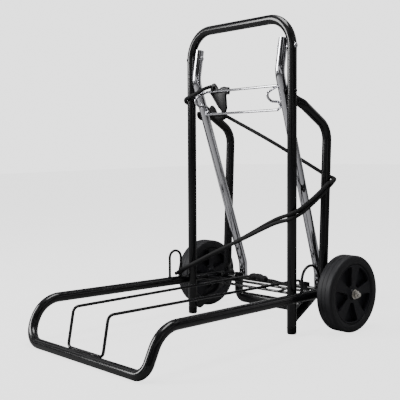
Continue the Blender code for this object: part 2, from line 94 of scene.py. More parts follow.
class Finish:
    # one material: constants go straight onto the shader, the rest through node()
    def __init__(self, name, constants):
        self.material = bpy.data.materials.new(name)
        self.material.use_nodes = True
        self.tree = self.material.node_tree
        self.shader = self.tree.nodes["Principled BSDF"]
        for key, value in constants.items():
            self.shader.inputs[key].default_value = (*value, 1.0) if key == "Base Color" else value

    def node(self, kind, settings, values, out=0):
        made = self.tree.nodes.new(kind)
        for key, value in settings.items():
            setattr(made, key, value)
        pairs = values.items() if isinstance(values, dict) else enumerate(values)
        for key, value in pairs:
            if isinstance(value, Tap):
                self.tree.links.new(value.out, made.inputs[key])
            elif value is not None:
                made.inputs[key].default_value = value
        return Tap(self, made.outputs[out])

    def feed(self, socket, tap):
        self.tree.links.new(tap.out, self.shader.inputs[socket])

    def place(self):
        return self.node("ShaderNodeTexCoord", {}, {}, "Object")

    def uv(self):
        return self.node("ShaderNodeTexCoord", {}, {}, "UV")

    def parts(self, vector):
        split = self.tree.nodes.new("ShaderNodeSeparateXYZ")
        self.tree.links.new(vector.out, split.inputs[0])
        return [Tap(self, out) for out in split.outputs]

    def stretch(self, vector, scale):
        return self.node("ShaderNodeVectorMath", {"operation": "MULTIPLY"}, (vector, scale))

    def grain(self, scale, detail=3.0, rough=0.55, where=None):
        spot = where or self.place()
        return self.node("ShaderNodeTexNoise", {},
                         {"Vector": spot, "Scale": scale, "Detail": detail, "Roughness": rough}, "Fac")

    def blend(self, amount, low, high):
        return self.node("ShaderNodeMix", {"data_type": "RGBA"},
                         {0: amount, 6: (*low, 1.0), 7: (*high, 1.0)}, 2)

    def bump(self, height, distance, strength=1.0):
        lift = self.node("ShaderNodeBump", {},
                         {"Height": height, "Distance": distance, "Strength": strength})
        self.feed("Normal", lift)


def enamelFinish():
    settings = dict(dark=(0.0030, 0.0030, 0.0036), light=(0.0062, 0.0062, 0.0072),
                    peel=620.0, cloud=22.0)
    coat = Finish("blackEnamel", {"Specular IOR Level": 0.38, "IOR": 1.5})
    cloud = coat.grain(settings["cloud"])
    scuff = coat.grain(140.0, 6.0, 0.7).between(0.62, 0.80)
    coat.feed("Base Color", coat.blend(cloud, settings["dark"], settings["light"]))
    coat.feed("Roughness", 0.15 + cloud * 0.08 + scuff * 0.14)
    coat.bump(coat.grain(settings["peel"], 1.0), 0.00002, 0.15)
    return coat.material


def chromeFinish():
    settings = dict(dark=(0.60, 0.60, 0.64), light=(0.74, 0.74, 0.77))
    plate = Finish("chromePlate", {"Metallic": 1.0})
    haze = plate.grain(30.0, 4.0)
    draw = plate.grain(1.0, 4.0, 0.6, plate.stretch(plate.place(), (900.0, 900.0, 25.0)))
    plate.feed("Base Color", plate.blend(haze, settings["dark"], settings["light"]))
    plate.feed("Roughness", 0.03 + haze * 0.04 + draw.between(0.60, 0.85) * 0.06)
    return plate.material


def zincFinish():
    # painted shade: the bar is painted near-black between the wheels, where the deck and cross stand shade
    # it, and keeps its plated tone out at the nuts
    settings = dict(dark=(0.62, 0.58, 0.52), light=(0.88, 0.86, 0.82), paintedShade=(0.06, 0.06, 0.06, 1.0),
                    paintedShadeTo=0.21, brightFrom=0.23)
    plate = Finish("zincPlate", {"Metallic": 1.0})
    stain = plate.grain(420.0, 5.0)
    x = plate.parts(plate.place())[0]
    # mask of the painted shade: 0 where the bar is darkened between the wheels, 1 out toward the nuts
    bright = (x * x).between(settings["paintedShadeTo"] ** 2, settings["brightFrom"] ** 2)
    tone = plate.blend(stain, settings["dark"], settings["light"])
    plate.feed("Base Color", plate.node("ShaderNodeMix", {"data_type": "RGBA"},
                                        {0: bright, 6: settings["paintedShade"], 7: tone}, 2))
    plate.feed("Roughness", 0.20 + stain * 0.18)
    plate.bump(plate.grain(1500.0, 3.0), 0.00004, 0.4)
    return plate.material


def plasticFinish(name, dark, light, rough):
    mould = Finish(name, {"IOR": 1.46, "Specular IOR Level": 0.22})
    cloud = mould.grain(55.0, 4.0)
    pit = mould.grain(1900.0, 2.0)
    scuff = mould.grain(210.0, 6.0, 0.7).between(0.60, 0.80)
    mould.feed("Base Color", mould.blend(cloud * 0.7 + scuff * 0.3, dark, light))
    mould.feed("Roughness", rough + cloud * 0.10 + scuff * 0.08)
    mould.bump(pit, 0.00010, 0.45)
    return mould.material


def rubberFinish():
    # darker on the tread, a touch paler on the sidewall ring
    settings = dict(dark=(0.0130, 0.0130, 0.0150), light=(0.0270, 0.0270, 0.0300),
                    ringIn=(0.068, 0.074), ringOut=(0.082, 0.086))
    tread = Finish("tyreRubber", {"IOR": 1.5, "Specular IOR Level": 0.22})
    x, y, z = tread.parts(tread.place())
    y = y - axleSpot.y
    z = z - axleSpot.z
    radius = (y * y + z * z) ** 0.5
    ring = radius.between(*settings["ringIn"]) * (1.0 - radius.between(*settings["ringOut"]))
    cloud = tread.grain(90.0, 5.0)
    dust = tread.grain(600.0, 6.0, 0.7).between(0.55, 0.85)
    tread.feed("Base Color", tread.blend(cloud * 0.35 + dust * 0.2 + ring * 0.45,
                                         settings["dark"], settings["light"]))
    tread.feed("Roughness", 0.46 + cloud * 0.16 + dust * 0.12)
    tread.bump(tread.grain(1400.0, 4.0), 0.00018, 0.5)
    return tread.material


def cordFinish():
    # a woven cover: strands wind both ways round the cord and pass over and under
    settings = dict(turns=8.0, pitch=330.0, dark=(0.0022, 0.0022, 0.0026),
                    light=(0.0095, 0.0095, 0.0105))
    cover = Finish("cordCover", {"Specular IOR Level": 0.3})
    around, along, _ = cover.parts(cover.uv())
    left = (around * settings["turns"] + along * settings["pitch"]) * math.tau
    right = (around * settings["turns"] - along * settings["pitch"]) * math.tau
    ridge = left.calc("SINE", left) * right.calc("SINE", right)
    weave = ridge * 0.5 + 0.5
    fuzz = cover.grain(2600.0, 3.0)
    cover.feed("Base Color", cover.blend(weave * 0.8 + fuzz * 0.2, settings["dark"], settings["light"]))
    cover.feed("Roughness", 0.62 + fuzz * 0.25)
    cover.bump(weave + fuzz * 0.3, 0.0005, 0.6)
    return cover.material


finishes = dict(
    enamel=enamelFinish(), chrome=chromeFinish(), zinc=zincFinish(), tyre_rubber=rubberFinish(),
    hub_plastic=plasticFinish("hubPlastic", (0.0120, 0.0120, 0.0150), (0.0220, 0.0220, 0.0270), 0.36),
    hook_plastic=plasticFinish("hookPlastic", (0.0035, 0.0035, 0.0044), (0.0075, 0.0075, 0.0090), 0.34),
    cap_plastic=plasticFinish("capPlastic", (0.0040, 0.0040, 0.0045), (0.0080, 0.0080, 0.0090), 0.38),
    cord_cover=cordFinish())
print("finishes made:", len(finishes))


# shared ways of making a mesh

def cornerPath(points, radii, steps=14):
    # a polyline with its corners turned to arcs
    path = [Vector(points[0])]
    for here, before, after, radius in zip(points[1:-1], points, points[2:], radii):
        here = Vector(here)
        back = (Vector(before) - here).normalized()
        ahead = (Vector(after) - here).normalized()
        half = back.angle(ahead) / 2
        centre = here + (back + ahead).normalized() * radius / math.sin(half)
        first = (here + back * radius / math.tan(half) - centre).normalized()
        last = (here + ahead * radius / math.tan(half) - centre).normalized()
        path += [centre + first.slerp(last, i / steps) * radius for i in range(steps + 1)]
    path.append(Vector(points[-1]))
    return path


def smoothPath(points, step):
    # a curve through every point of a listed route
    points = [Vector(spot) for spot in points]
    padded = [points[0] * 2 - points[1]] + points + [points[-1] * 2 - points[-2]]
    path = []
    for a, b, c, d in zip(padded, padded[1:], padded[2:], padded[3:]):
        count = max(1, round((c - b).length / step))
        for i in range(count):
            t = i / count
            path.append(0.5 * (2 * b + (c - a) * t + (2 * a - 5 * b + 4 * c - d) * t * t
                               + (3 * b - a - 3 * c + d) * t ** 3))
    return path + [points[-1]]


def ringSpots(path, closed):
    # a frame at each point, carried along the path without twisting
    count = len(path)
    across = None
    spots = []
    for i, here in enumerate(path):
        before = path[i - 1] if closed or i else here
        after = path[(i + 1) % count] if closed or i < count - 1 else here
        ahead = (after - before).normalized()
        across = across or ahead.orthogonal()
        across = (across - ahead * across.dot(ahead)).normalized()
        turn = Matrix((across, ahead.cross(across), ahead)).transposed().to_4x4()
        spots.append(Matrix.Translation(here) @ turn)
    return spots


def sweep(path, radius, around=28, closed=False, hollow=0.0, tip=0.0006):
    # a ring drawn along a path; its ends are capped, or bored out by "hollow"
    mesh = bmesh.new()
    uv = mesh.loops.layers.uv.new("UVMap")
    spots = ringSpots(path, closed)
    scales = radius if isinstance(radius, list) else [radius] * len(path)
    ring = bmesh.ops.create_circle(mesh, segments=around, radius=1.0,
                                   matrix=spots[0] @ Matrix.Scale(scales[0], 4))["verts"]
    count = {vert: i for i, vert in enumerate(ring)}
    run = {vert: 0.0 for vert in ring}
    first = mesh.edges[:]
    edges = first
    travel = 0.0
    for i in range(1, len(path)):
        travel += (path[i] - path[i - 1]).length
        grown = bmesh.ops.extrude_edge_only(mesh, edges=edges)["geom"]
        fresh = [part for part in grown if isinstance(part, bmesh.types.BMVert)]
        for vert in fresh:
            old = next(edge.other_vert(vert) for edge in vert.link_edges
                       if edge.other_vert(vert) in count)
            run[vert] = travel
            count[vert] = -1 - count[old]
        for vert in fresh:
            count[vert] = -1 - count[vert]
        newSet = set(fresh)
        edges = [part for part in grown if isinstance(part, bmesh.types.BMEdge)
                 and part.verts[0] in newSet and part.verts[1] in newSet]
        last = spots[i - 1] @ Matrix.Scale(scales[i - 1], 4)
        step = spots[i] @ Matrix.Scale(scales[i], 4) @ last.inverted()
        bmesh.ops.transform(mesh, matrix=step, verts=fresh)
    for face in mesh.faces:
        wraps = {count[loop.vert] for loop in face.loops} == {0, around - 1}
        for loop in face.loops:
            turn = count[loop.vert]
            loop[uv].uv = ((around if wraps and turn == 0 else turn) / around, run[loop.vert])
    if closed:
        bmesh.ops.bridge_loops(mesh, edges=first + edges)
    else:
        caps = []
        for rim in (first, edges):
            caps += bmesh.ops.edgeloop_fill(mesh, edges=rim)["faces"]
        bmesh.ops.recalc_face_normals(mesh, faces=mesh.faces)
        if hollow:
            for cap in caps:
                inward = -cap.normal
                bmesh.ops.inset_individual(mesh, faces=[cap], thickness=hollow, depth=0.0)
                deep = bmesh.ops.extrude_discrete_faces(mesh, faces=[cap])["faces"][0]
                bmesh.ops.translate(mesh, verts=deep.verts, vec=inward * 0.03)
        elif tip:
            rims = {edge for cap in caps for edge in cap.edges}
            bmesh.ops.bevel(mesh, geom=list(rims), offset=tip, segments=3, affect="EDGES",
                            profile=0.5, material=-1, clamp_overlap=True)
    bmesh.ops.recalc_face_normals(mesh, faces=mesh.faces)
    return mesh


def lathe(profile, place, steps=96, axis="X"):
    # a profile of radius and depth pairs, turned about the axle's direction or upright
    mesh = bmesh.new()
    points = [mesh.verts.new((depth, 0.0, radius)) for radius, depth in profile]
    edges = [mesh.edges.new(pair) for pair in zip(points, points[1:])]
    bmesh.ops.spin(mesh, geom=points + edges, cent=(0, 0, 0), axis=(1, 0, 0), angle=math.tau,
                   steps=steps, use_merge=True)
    bmesh.ops.remove_doubles(mesh, verts=mesh.verts, dist=0.000005)
    if axis == "Z":
        upright = Matrix.Rotation(math.radians(-90), 3, "Y")
        bmesh.ops.rotate(mesh, verts=mesh.verts, cent=(0, 0, 0), matrix=upright)
    bmesh.ops.translate(mesh, verts=mesh.verts, vec=place)
    bmesh.ops.recalc_face_normals(mesh, faces=mesh.faces)
    return mesh


def thickened(outline, push):
    # a flat outline drawn out into a solid
    mesh = bmesh.new()
    face = mesh.faces.new([mesh.verts.new(spot) for spot in outline])
    grown = bmesh.ops.extrude_face_region(mesh, geom=[face])["geom"]
    fresh = [part for part in grown if isinstance(part, bmesh.types.BMVert)]
    bmesh.ops.translate(mesh, verts=fresh, vec=push)
    bmesh.ops.recalc_face_normals(mesh, faces=mesh.faces)
    return mesh


def quarter(steps=8):
    # cosine and sine of evenly spaced angles from 0 to a right angle
    angles = [math.pi / 2 * i / steps for i in range(steps + 1)]
    return [(max(math.cos(angle), 0), math.sin(angle)) for angle in angles]


def swelling(path, thin, gain, lumps):
    # a radius for each point of a path, thickened in even lumps
    last = len(path) - 1
    return [thin + gain * abs(math.sin(i / last * math.pi * lumps)) for i in range(last + 1)]


def roundEdges(mesh, width, segments, angle):
    sharp = [edge for edge in mesh.edges
             if len(edge.link_faces) == 2 and edge.calc_face_angle(0) > math.radians(angle)]
    bmesh.ops.bevel(mesh, geom=sharp, offset=width, segments=segments, affect="EDGES",
                    profile=0.5, material=-1, clamp_overlap=True)
    return mesh


def piece(name, mesh, slot, body, *nodes, smooth=38):
    # stands the finished mesh in the leaned cart, and gives it its finish and its body
    mesh.transform(stand)
    data = bpy.data.meshes.new(name)
    mesh.to_mesh(data)
    mesh.free()
    data.shade_smooth()
    data.set_sharp_from_angle(angle=math.radians(smooth))
    data.materials.append(finishes[slot])
    obj = bpy.data.objects.new(name, data)
    bpy.context.scene.collection.objects.link(obj)
    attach(obj, body)
    if nodes:
        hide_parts(*nodes)
    return obj


def joined(meshes):
    # several bmeshes gathered into the first
    whole = meshes[0]
    for other in meshes[1:]:
        data = bpy.data.meshes.new("join")
        other.to_mesh(data)
        other.free()
        whole.from_mesh(data)
        bpy.data.meshes.remove(data)
    return whole


# front frame, feet and rear legs

post = dict(x=0.168, top=0.717, bend=0.068, foot=0.0164, around=36)
leg = dict(x=0.1617, plateX=0.1545, low=(0.118, 0.075), high=(0.134, 0.470), pin=(0.0, 0.551),
           front=-0.006, bend=0.050, flat=0.80)
strut = dict(x=0.155, thick=0.003, width=0.026, foot=(0.0135, 0.0270))


def makeFrontFrame():
    x, top = post["x"], post["top"]
    path = cornerPath([(-x, 0, post["foot"]), (-x, 0, top), (x, 0, top), (x, 0, post["foot"])],
                      [post["bend"]] * 2, steps=22)
    piece("frontFrame", sweep(path, cart["tubeR"], post["around"]), "enamel", "frame", "front_frame")


def makeFootCap(side, word):
    # a moulded cup with a soft lower edge and a thin bead at its mouth
    r = cart["tubeR"]
    profile = [(0, 0.0), (r - 0.0030, 0.0), (r - 0.0012, 0.0006), (r - 0.0002, 0.0022), (r, 0.0040),
               (r, 0.0135), (r + 0.0004, 0.0142), (r + 0.0004, 0.0156), (r, 0.0160), (0, 0.0160)]
    mesh = lathe(profile, (side * post["x"], 0, 0), 40, "Z")
    piece("footCap_" + word, mesh, "cap_plastic", "frame", "foot_cap_" + word)


def makeRearLeg(side, word):
    y0, z0 = leg["low"]
    y1, z1 = leg["high"]
    y2, z2 = leg["pin"]
    slope = (z2 - z1) / (y2 - y1)
    corners = cornerPath([(side * leg["x"], y0, z0), (side * leg["x"], y1, z1),
                          (side * leg["x"], leg["front"], z2 + slope * (leg["front"] - y2))],
                         [leg["bend"]], steps=16)
    low = [corners[0].lerp(corners[1], i * 0.006) for i in range(36)]
    high = [corners[-2].lerp(corners[-1], i / 40) for i in range(41)]
    mesh = sweep(low + corners[1:-2] + high, cart["tubeR"], post["around"])
    for vert in mesh.verts:
        y, z = vert.co.y, vert.co.z
        top = min(max((0.052 - y) / 0.022, 0), 1) if z > 0.4 else 0
        foot = min(max((0.125 - z) / 0.018, 0), 1)
        top = top * top * (3 - 2 * top)
        foot = foot * foot * (3 - 2 * foot)
        centre = leg["x"] + (leg["plateX"] - leg["x"]) * top
        reach = (vert.co.x * side - leg["x"]) * (1 - leg["flat"] * max(top, foot))
        vert.co.x = side * (centre + reach)
    piece("rearLeg_" + word, mesh, "enamel", "frame", "rear_leg_" + word)


def plate(start, end, width, thick, x):
    # a flat bar with round ends, in a plane of constant X
    heading = math.atan2(end[1] - start[1], end[0] - start[0])
    outline = []
    for spot, turn in ((end, heading - math.pi / 2), (start, heading + math.pi / 2)):
        for i in range(17):
            angle = turn + math.pi * i / 16
            outline.append((x - thick / 2, spot[0] + width / 2 * math.cos(angle),
                            spot[1] + width / 2 * math.sin(angle)))
    return roundEdges(thickened(outline, (thick, 0, 0)), 0.0006, 2, 60)


def makeStrut(side, word):
    mesh = plate(strut["foot"], cart["axle"][1:], strut["width"], strut["thick"], side * strut["x"])
    piece("strut_" + word, mesh, "enamel", "frame", "strut_" + word)


rivet = dict(shank=0.0022,
             pivot=dict(z=0.651, y=0.0, ends=(0.1284, 0.1795), head=0.0060, slot="chrome"),
             leg=dict(z=0.551, y=0.0, ends=(0.1520, 0.1795), head=0.0042, slot="enamel"))


def makeRivet(kind, side, word):
    # a domed head on a thin flange at each end of the shank
    form = rivet[kind]
    inner, outer = form["ends"]
    head = form["head"]
    dome = [(head * 0.86 * out, 0.0005 + head * 0.34 * up) for out, up in quarter()]
    cap = [(head, 0.0), (head, 0.0004), (head * 0.93, 0.0005)] + dome
    shank = rivet["shank"]
    profile = [(shank, inner), (shank, outer)] + [(radius, outer + depth) for radius, depth in cap]
    low = [(radius, inner - depth) for radius, depth in cap]
    profile = list(reversed(low)) + profile
    profile = [(radius, side * depth) for radius, depth in profile]
    mesh = lathe(profile, (0, form["y"], form["z"]), 40)
    piece(kind + "Rivet_" + word, mesh, form["slot"], "frame", kind + "_rivet_" + word)


makeFrontFrame()
for side, word in sides:
    makeFootCap(side, word)
    makeRearLeg(side, word)
    makeStrut(side, word)
    makeRivet("pivot", side, word)
    makeRivet("leg", side, word)
print("front frame and legs made")


# stays and latch wire

stay = dict(points=((0.1400, 0.0030, 0.6710), (0.1396, -0.0100, 0.5940), (0.1278, 0.1450, 0.1234),
                    (0.1274, 0.1463, 0.0884)), bends=[0.060, 0.030], wall=0.0014, around=36)
bail = dict(x=0.121, r=0.0030, pinEnd=0.1384, low=(0.0050, 0.5105),
            bends=[0.020, 0.0095, 0.012, 0.006, 0.005],
            turns=((0.0090, 0.5665), (-0.0130, 0.5570), (-0.0400, 0.5430), (-0.0160, 0.5290),
                   (0.0080, 0.5290), (0.0165, 0.5190)))


def makeStay(side, word):
    corners = [(side * x, y, z) for x, y, z in stay["points"]]
    path = cornerPath(corners, stay["bends"], 18)
    mesh = sweep(path, cart["tubeR"], stay["around"], hollow=stay["wall"])
    piece("stayTube_" + word, mesh, "chrome", "stays", "stay_" + word)
    x, y, z = corners[-1]
    r = cart["tubeR"]
    profile = [(0, -0.0060), (r - 0.0024, -0.0060), (r - 0.0008, -0.0054), (r, -0.0040), (r, -0.0016),
               (r - 0.0004, -0.0012), (0, -0.0012)]
    mesh = lathe(profile, (x, y, z), 40, "Z")
    piece("stayShoe_" + word, mesh, "cap_plastic", "stays", "stay_shoe_" + word)


def makeBail():
    half = [(bail["x"], *spot) for spot in bail["turns"] + (bail["low"],)]
    right = cornerPath(half, bail["bends"], 8)
    left = [Vector((-spot.x, spot.y, spot.z)) for spot in reversed(right)]
    wire = sweep(right + left, bail["r"], 16, closed=True)
    pins = []
    for side in (-1, 1):
        y, z = bail["turns"][0]
        ends = [Vector((side * (bail["x"] - 0.001), y, z)), Vector((side * bail["pinEnd"], y, z))]
        pins.append(sweep(ends, bail["r"] * 0.96, 16, tip=0.0004))
    piece("latchWire", joined([wire] + pins), "chrome", "bail", "latch_bail")


for side, word in sides:
    makeStay(side, word)
makeBail()
print("stays and latch wire made")


# platform

deck = dict(sideX=0.191, splay=0.042, sideZ=0.0865, tailY=0.160, lipY=-0.462, lipZ=-0.0022,
            dropY=-0.4190, wireFront=-0.4335, lipBend=0.066, cornerL=0.052, cornerR=0.026,
            wireX=0.062, wireTailX=0.069, wireZ=0.0885, wireTailZ=0.0967,
            rod=(0.1463, 0.0787), rodR=0.0032, wall=0.0015)
crossStand = dict(armX=0.112, low=0.038, rise=0.012, bend=0.018, r=0.014, wall=0.0018, flat=0.45)
crossWires = dict(front=0.021, middle=0.066)
loops = dict(l=(-1, -0.0560, -0.0198, 0.1640), r=(1, 0.0080, 0.0720, 0.1550))


def sideLine(y):
    return deck["sideX"] - deck["splay"] * y


def wireHeight(y):
    front = deck["wireFront"]
    rise = (y - front) / (deck["rod"][0] - front)
    return deck["wireZ"] + (deck["wireTailZ"] - deck["wireZ"]) * rise


def makePlatformTube():
    tail, drop, lip = deck["tailY"], deck["dropY"], deck["lipY"]
    right = [(sideLine(tail), tail, deck["sideZ"] + 0.001), (sideLine(drop), drop, deck["sideZ"] - 0.0022),
             (sideLine(lip), lip, deck["lipZ"])]
    left = [(-x, y, z) for x, y, z in reversed(right)]
    bends = [deck["lipBend"], deck["cornerR"], deck["cornerL"], deck["lipBend"]]
    mesh = sweep(cornerPath(right + left, bends, 18), cart["tubeR"], 36, hollow=deck["wall"])
    piece("platformTube", mesh, "enamel", "platform", "platform_tube")


def makeDeckWire():
    y, z = deck["rod"]
    low = (deck["lipY"] + 0.0130, deck["lipZ"] + 0.0082)
    right = [(deck["wireTailX"], y, z + deck["rodR"] + 0.0004), (deck["wireTailX"], y, deck["wireTailZ"]),
             (deck["wireX"], deck["wireFront"], deck["wireZ"]), (deck["wireX"], *low)]
    left = [(-spot[0], spot[1], spot[2]) for spot in reversed(right)]
    path = cornerPath(right + left, [0.008, 0.014, 0.010, 0.010, 0.014, 0.008], 8)
    piece("deckWire", sweep(path, cart["wireR"], 18), "enamel", "platform", "deck_wire")


def makeStraightWires():
    for word, y in crossWires.items():
        z = wireHeight(y) - 2 * cart["wireR"] - 0.0004
        reach = sideLine(y) - cart["tubeR"] - 0.0004
        mesh = sweep([Vector((-reach, y, z)), Vector((reach, y, z))], cart["wireR"], 18)
        piece("crossWire_" + word, mesh, "enamel", "platform", "cross_wire_" + word)
    y, z = deck["rod"]
    reach = sideLine(y) - cart["tubeR"] - 0.0004
    mesh = sweep([Vector((-reach, y, z)), Vector((reach, y, z))], deck["rodR"], 20)
    piece("tailRod", mesh, "enamel", "platform", "tail_rod")


def makeLoop(word):
    side, front, back, top = loops[word]
    foot = deck["sideZ"] + cart["tubeR"] + 0.0006
    x0, x1 = side * sideLine(front), side * sideLine(back)
    bend = (back - front) / 2 - 0.0002
    corners = [(x0, front, foot), (x0, front, top), (x1, back, top), (x1, back, foot)]
    mesh = sweep(cornerPath(corners, [bend] * 2, 14), cart["wireR"], 18)
    piece("cordLoop_" + word, mesh, "enamel", "platform", "cord_loop_" + word)


def blob(place, size, seed):
    # a lump of weld metal: a squashed ball with a rippled skin
    mesh = bmesh.new()
    bmesh.ops.create_icosphere(mesh, subdivisions=3, radius=1.0)
    for vert in mesh.verts:
        ripple = noise.noise(vert.co * 2.2 + Vector((seed, seed * 0.7, 0)))
        vert.co *= 1.0 + 0.16 * ripple
    bmesh.ops.scale(mesh, verts=mesh.verts, vec=size)
    bmesh.ops.translate(mesh, verts=mesh.verts, vec=place)
    return mesh


def makeWelds():
    spots = []
    lip = (deck["lipY"] + 0.0090, deck["lipZ"] + 0.0080)
    for x in (-0.034, 0.034):
        spots.append(((x, *lip), (0.0062, 0.0038, 0.0036)))
    for side in (-1, 1):
        for y in crossWires.values():
            z = wireHeight(y) - 2 * cart["wireR"] - 0.0004
            spots.append(((side * (sideLine(y) - cart["tubeR"] - 0.0006), y, z), (0.0022, 0.0046, 0.0042)))
            spots.append(((side * 0.0665, y, z + cart["wireR"]), (0.0030, 0.0034, 0.0018)))
        y, z = deck["rod"]
        spots.append(((side * (sideLine(y) - cart["tubeR"] - 0.0004), y, z), (0.0022, 0.0046, 0.0044)))
        spots.append(((side * deck["wireTailX"], y, z + deck["rodR"]), (0.0042, 0.0040, 0.0022)))
    for side, front, back, top in loops.values():
        for y in (front, back):
            spots.append(((side * sideLine(y), y, deck["sideZ"] + cart["tubeR"]), (0.0044, 0.0048, 0.0024)))
    piece("weldBeads", joined([blob(spot, size, i * 3.1) for i, (spot, size) in enumerate(spots)]),
          "enamel", "platform")


def makeCrossStand():
    # a flattened tube bent to a U and hung from the axle
    armX, low = crossStand["armX"], crossStand["low"]
    y, z = cart["axle"][1:]
    top = z + crossStand["rise"]
    path = cornerPath([(-armX, y, top), (-armX, y, low), (armX, y, low), (armX, y, top)],
                      [crossStand["bend"]] * 2, 14)
    mesh = sweep(path, crossStand["r"], 32, hollow=crossStand["wall"])
    for vert in mesh.verts:
        vert.co.y = y + (vert.co.y - y) * crossStand["flat"]
    piece("crossStand", mesh, "enamel", "platform", "cross_stand")


makePlatformTube()
makeDeckWire()
makeStraightWires()
for word in loops:
    makeLoop(word)
makeWelds()
makeCrossStand()
print("platform made")


# axle, wheels and their fixings

wheel = dict(r=0.0885, half=0.021, mid=0.2375, hubR=0.0685, bossR=0.0130, boreR=0.0044, pockets=5,
             pocketTurn=46.0, pocketIn=0.0205, pocketOut=0.0640, pocketDeep=0.0120, halfIn=14.0,
             halfOut=22.5, shoulder=0.0058, groove=0.0052)
bar = dict(end=0.2740, threadFrom=0.2600, pitch=0.0008, capR=0.0052, capDeep=0.0028)
spacers = (("axleBush_", "axle_bush_", 0.0070, 0.1655, 0.1738),
           ("axleSpacer_", "axle_spacer_", 0.0075, 0.1990, 0.2118))
washer = dict(r=0.0110, start=0.0003, end=0.0020, soft=0.0004)
nut = dict(r=0.0095, tall=0.0054, start=0.0023, collarR=0.0076)


def makeAxle():
    # the bar, with a cut thread and a rounded cap on each end
    end, r = bar["end"], cart["axleR"]
    profile = [(0, -end), (r - 0.0010, -end), (r - 0.0002, -end + 0.0010)]
    thread = []
    depth = bar["threadFrom"]
    while depth < end - 0.0012:
        thread += [(r, depth), (r - 0.0005, depth + 0.0004)]
        depth += bar["pitch"]
    profile += [(radius, -spot) for radius, spot in reversed(thread)]
    profile += thread + [(r - 0.0002, end - 0.0010), (r - 0.0010, end), (0, end)]
    capR, deep = bar["capR"], bar["capDeep"]
    cap = [(0, -deep), (capR, -deep)]
    cap += [(capR * out, 0.0006 + 0.0022 * up) for out, up in quarter()]
    meshes = [lathe(profile, cart["axle"], 32)]
    for side, _ in sides:
        turned = [(radius, side * (end - deep + depth)) for radius, depth in cap]
        meshes.append(lathe(turned, cart["axle"], 40))
    piece("axleBar", joined(meshes), "zinc", "frame", "axle")


def makeSpacers(side, word):
    for name, node, outer, x0, x1 in spacers:
        inner, soft = cart["axleR"] + 0.0004, 0.0006
        profile = [(inner, x0), (outer - soft, x0), (outer, x0 + soft), (outer, x1 - soft),
                   (outer - soft, x1), (inner, x1), (inner, x0)]
        profile = [(radius, side * depth) for radius, depth in profile]
        piece(name + word, lathe(profile, cart["axle"], 48), "cap_plastic", "frame", node + word)


def pocketMesh(turn, x0, x1):
    # a straight-walled wedge between two spokes, its outer corners rounded
    inner, outer = wheel["pocketIn"], wheel["pocketOut"]
    halfIn, halfOut = math.radians(wheel["halfIn"]), math.radians(wheel["halfOut"])
    corner = [(outer, halfOut * 0.88), (outer - 0.0010, halfOut * 0.955), (outer - 0.004, halfOut),
              (inner, halfIn)]
    outline = [(radius, -angle) for radius, angle in reversed(corner)]
    outline += [(outer, halfOut * 0.88 * i / 5) for i in range(-4, 5)] + corner
    points = [(x0, radius * math.cos(turn + angle), radius * math.sin(turn + angle))
              for radius, angle in outline]
    return thickened(points, (x1 - x0, 0, 0))


def loose(name, mesh):
    data = bpy.data.meshes.new(name)
    mesh.to_mesh(data)
    mesh.free()
    obj = bpy.data.objects.new(name, data)
    bpy.context.scene.collection.objects.link(obj)
    return obj


def makeHub(side, word):
    # a moulded disc, dished toward a long boss, with a rim ring and five pockets in each face
    half, hubR, boss = wheel["half"], wheel["hubR"], wheel["bossR"]
    face = half - 0.0040
    outer = [(wheel["boreR"], half + 0.0002), (boss - 0.0022, half + 0.0002), (boss - 0.0008, half - 0.0004),
             (boss, half - 0.0016), (boss + 0.0006, face - 0.0004), (boss + 0.0024, face - 0.0010),
             (0.040, face - 0.0006), (wheel["pocketOut"] + 0.001, face + 0.0002),
             (hubR - 0.0030, face + 0.0008), (hubR - 0.0006, face + 0.0004), (hubR, face - 0.0006)]
    profile = outer + [(radius, -depth) for radius, depth in reversed(outer)]
    profile.append(profile[0])
    hub = loose("hubBlank", lathe(profile, (0, 0, 0), 120))
    cutters = []
    for i in range(wheel["pockets"]):
        turn = math.radians(wheel["pocketTurn"]) + math.tau * i / wheel["pockets"]
        floor = face - wheel["pocketDeep"]
        for x0, x1 in ((floor, half + 0.004), (-half - 0.004, -floor)):
            cutters.append(pocketMesh(turn, x0, x1))
    cutter = loose("pockets", joined(cutters))
    cut = hub.modifiers.new("cut", "BOOLEAN")
    cut.operation = "DIFFERENCE"
    cut.solver = "EXACT"
    cut.object = cutter
    bpy.context.view_layer.update()
    cast = bmesh.new()
    cast.from_object(hub, bpy.context.evaluated_depsgraph_get())
    for spare in (hub, cutter):
        bpy.data.objects.remove(spare, do_unlink=True)
    bmesh.ops.remove_doubles(cast, verts=cast.verts, dist=0.00002)
    bmesh.ops.translate(cast, verts=cast.verts, vec=(side * wheel["mid"], *cart["axle"][1:]))
    obj = piece("wheelHub_" + word, cast, "hub_plastic", "wheel_" + word, "wheel_hub_" + word, smooth=30)
    soft = obj.modifiers.new("soft", "BEVEL")
    soft.width = 0.0007
    soft.segments = 2
    soft.limit_method = "ANGLE"
    soft.angle_limit = math.radians(50)
    soft.use_clamp_overlap = True


def makeTyre(side, word):
    # a solid tyre: raised sidewall ring, soft shoulders and two fine grooves round the tread
    half, r, inner = wheel["half"], wheel["r"], wheel["hubR"] + 0.0003
    bend, groove = wheel["shoulder"], wheel["groove"]
    wall = [(inner, half - 0.0034), (inner + 0.0006, half - 0.0022), (inner + 0.0018, half - 0.0010),
            (inner + 0.0030, half - 0.0004), (inner + 0.0085, half), (inner + 0.0118, half - 0.0003)]
    shoulder = [(r - bend + bend * up, half - bend - 0.0004 + bend * out) for out, up in quarter()]
    tread = [(r, groove + 0.0007), (r - 0.0007, groove + 0.0003), (r - 0.0007, groove - 0.0003),
             (r, groove - 0.0007)]
    right = wall + shoulder + tread
    profile = right + [(radius, -depth) for radius, depth in reversed(right)]
    profile.append(profile[0])
    mesh = lathe(profile, (side * wheel["mid"], *cart["axle"][1:]), 160)
    piece("tyre_" + word, mesh, "tyre_rubber", "wheel_" + word, "tyre_" + word, smooth=30)


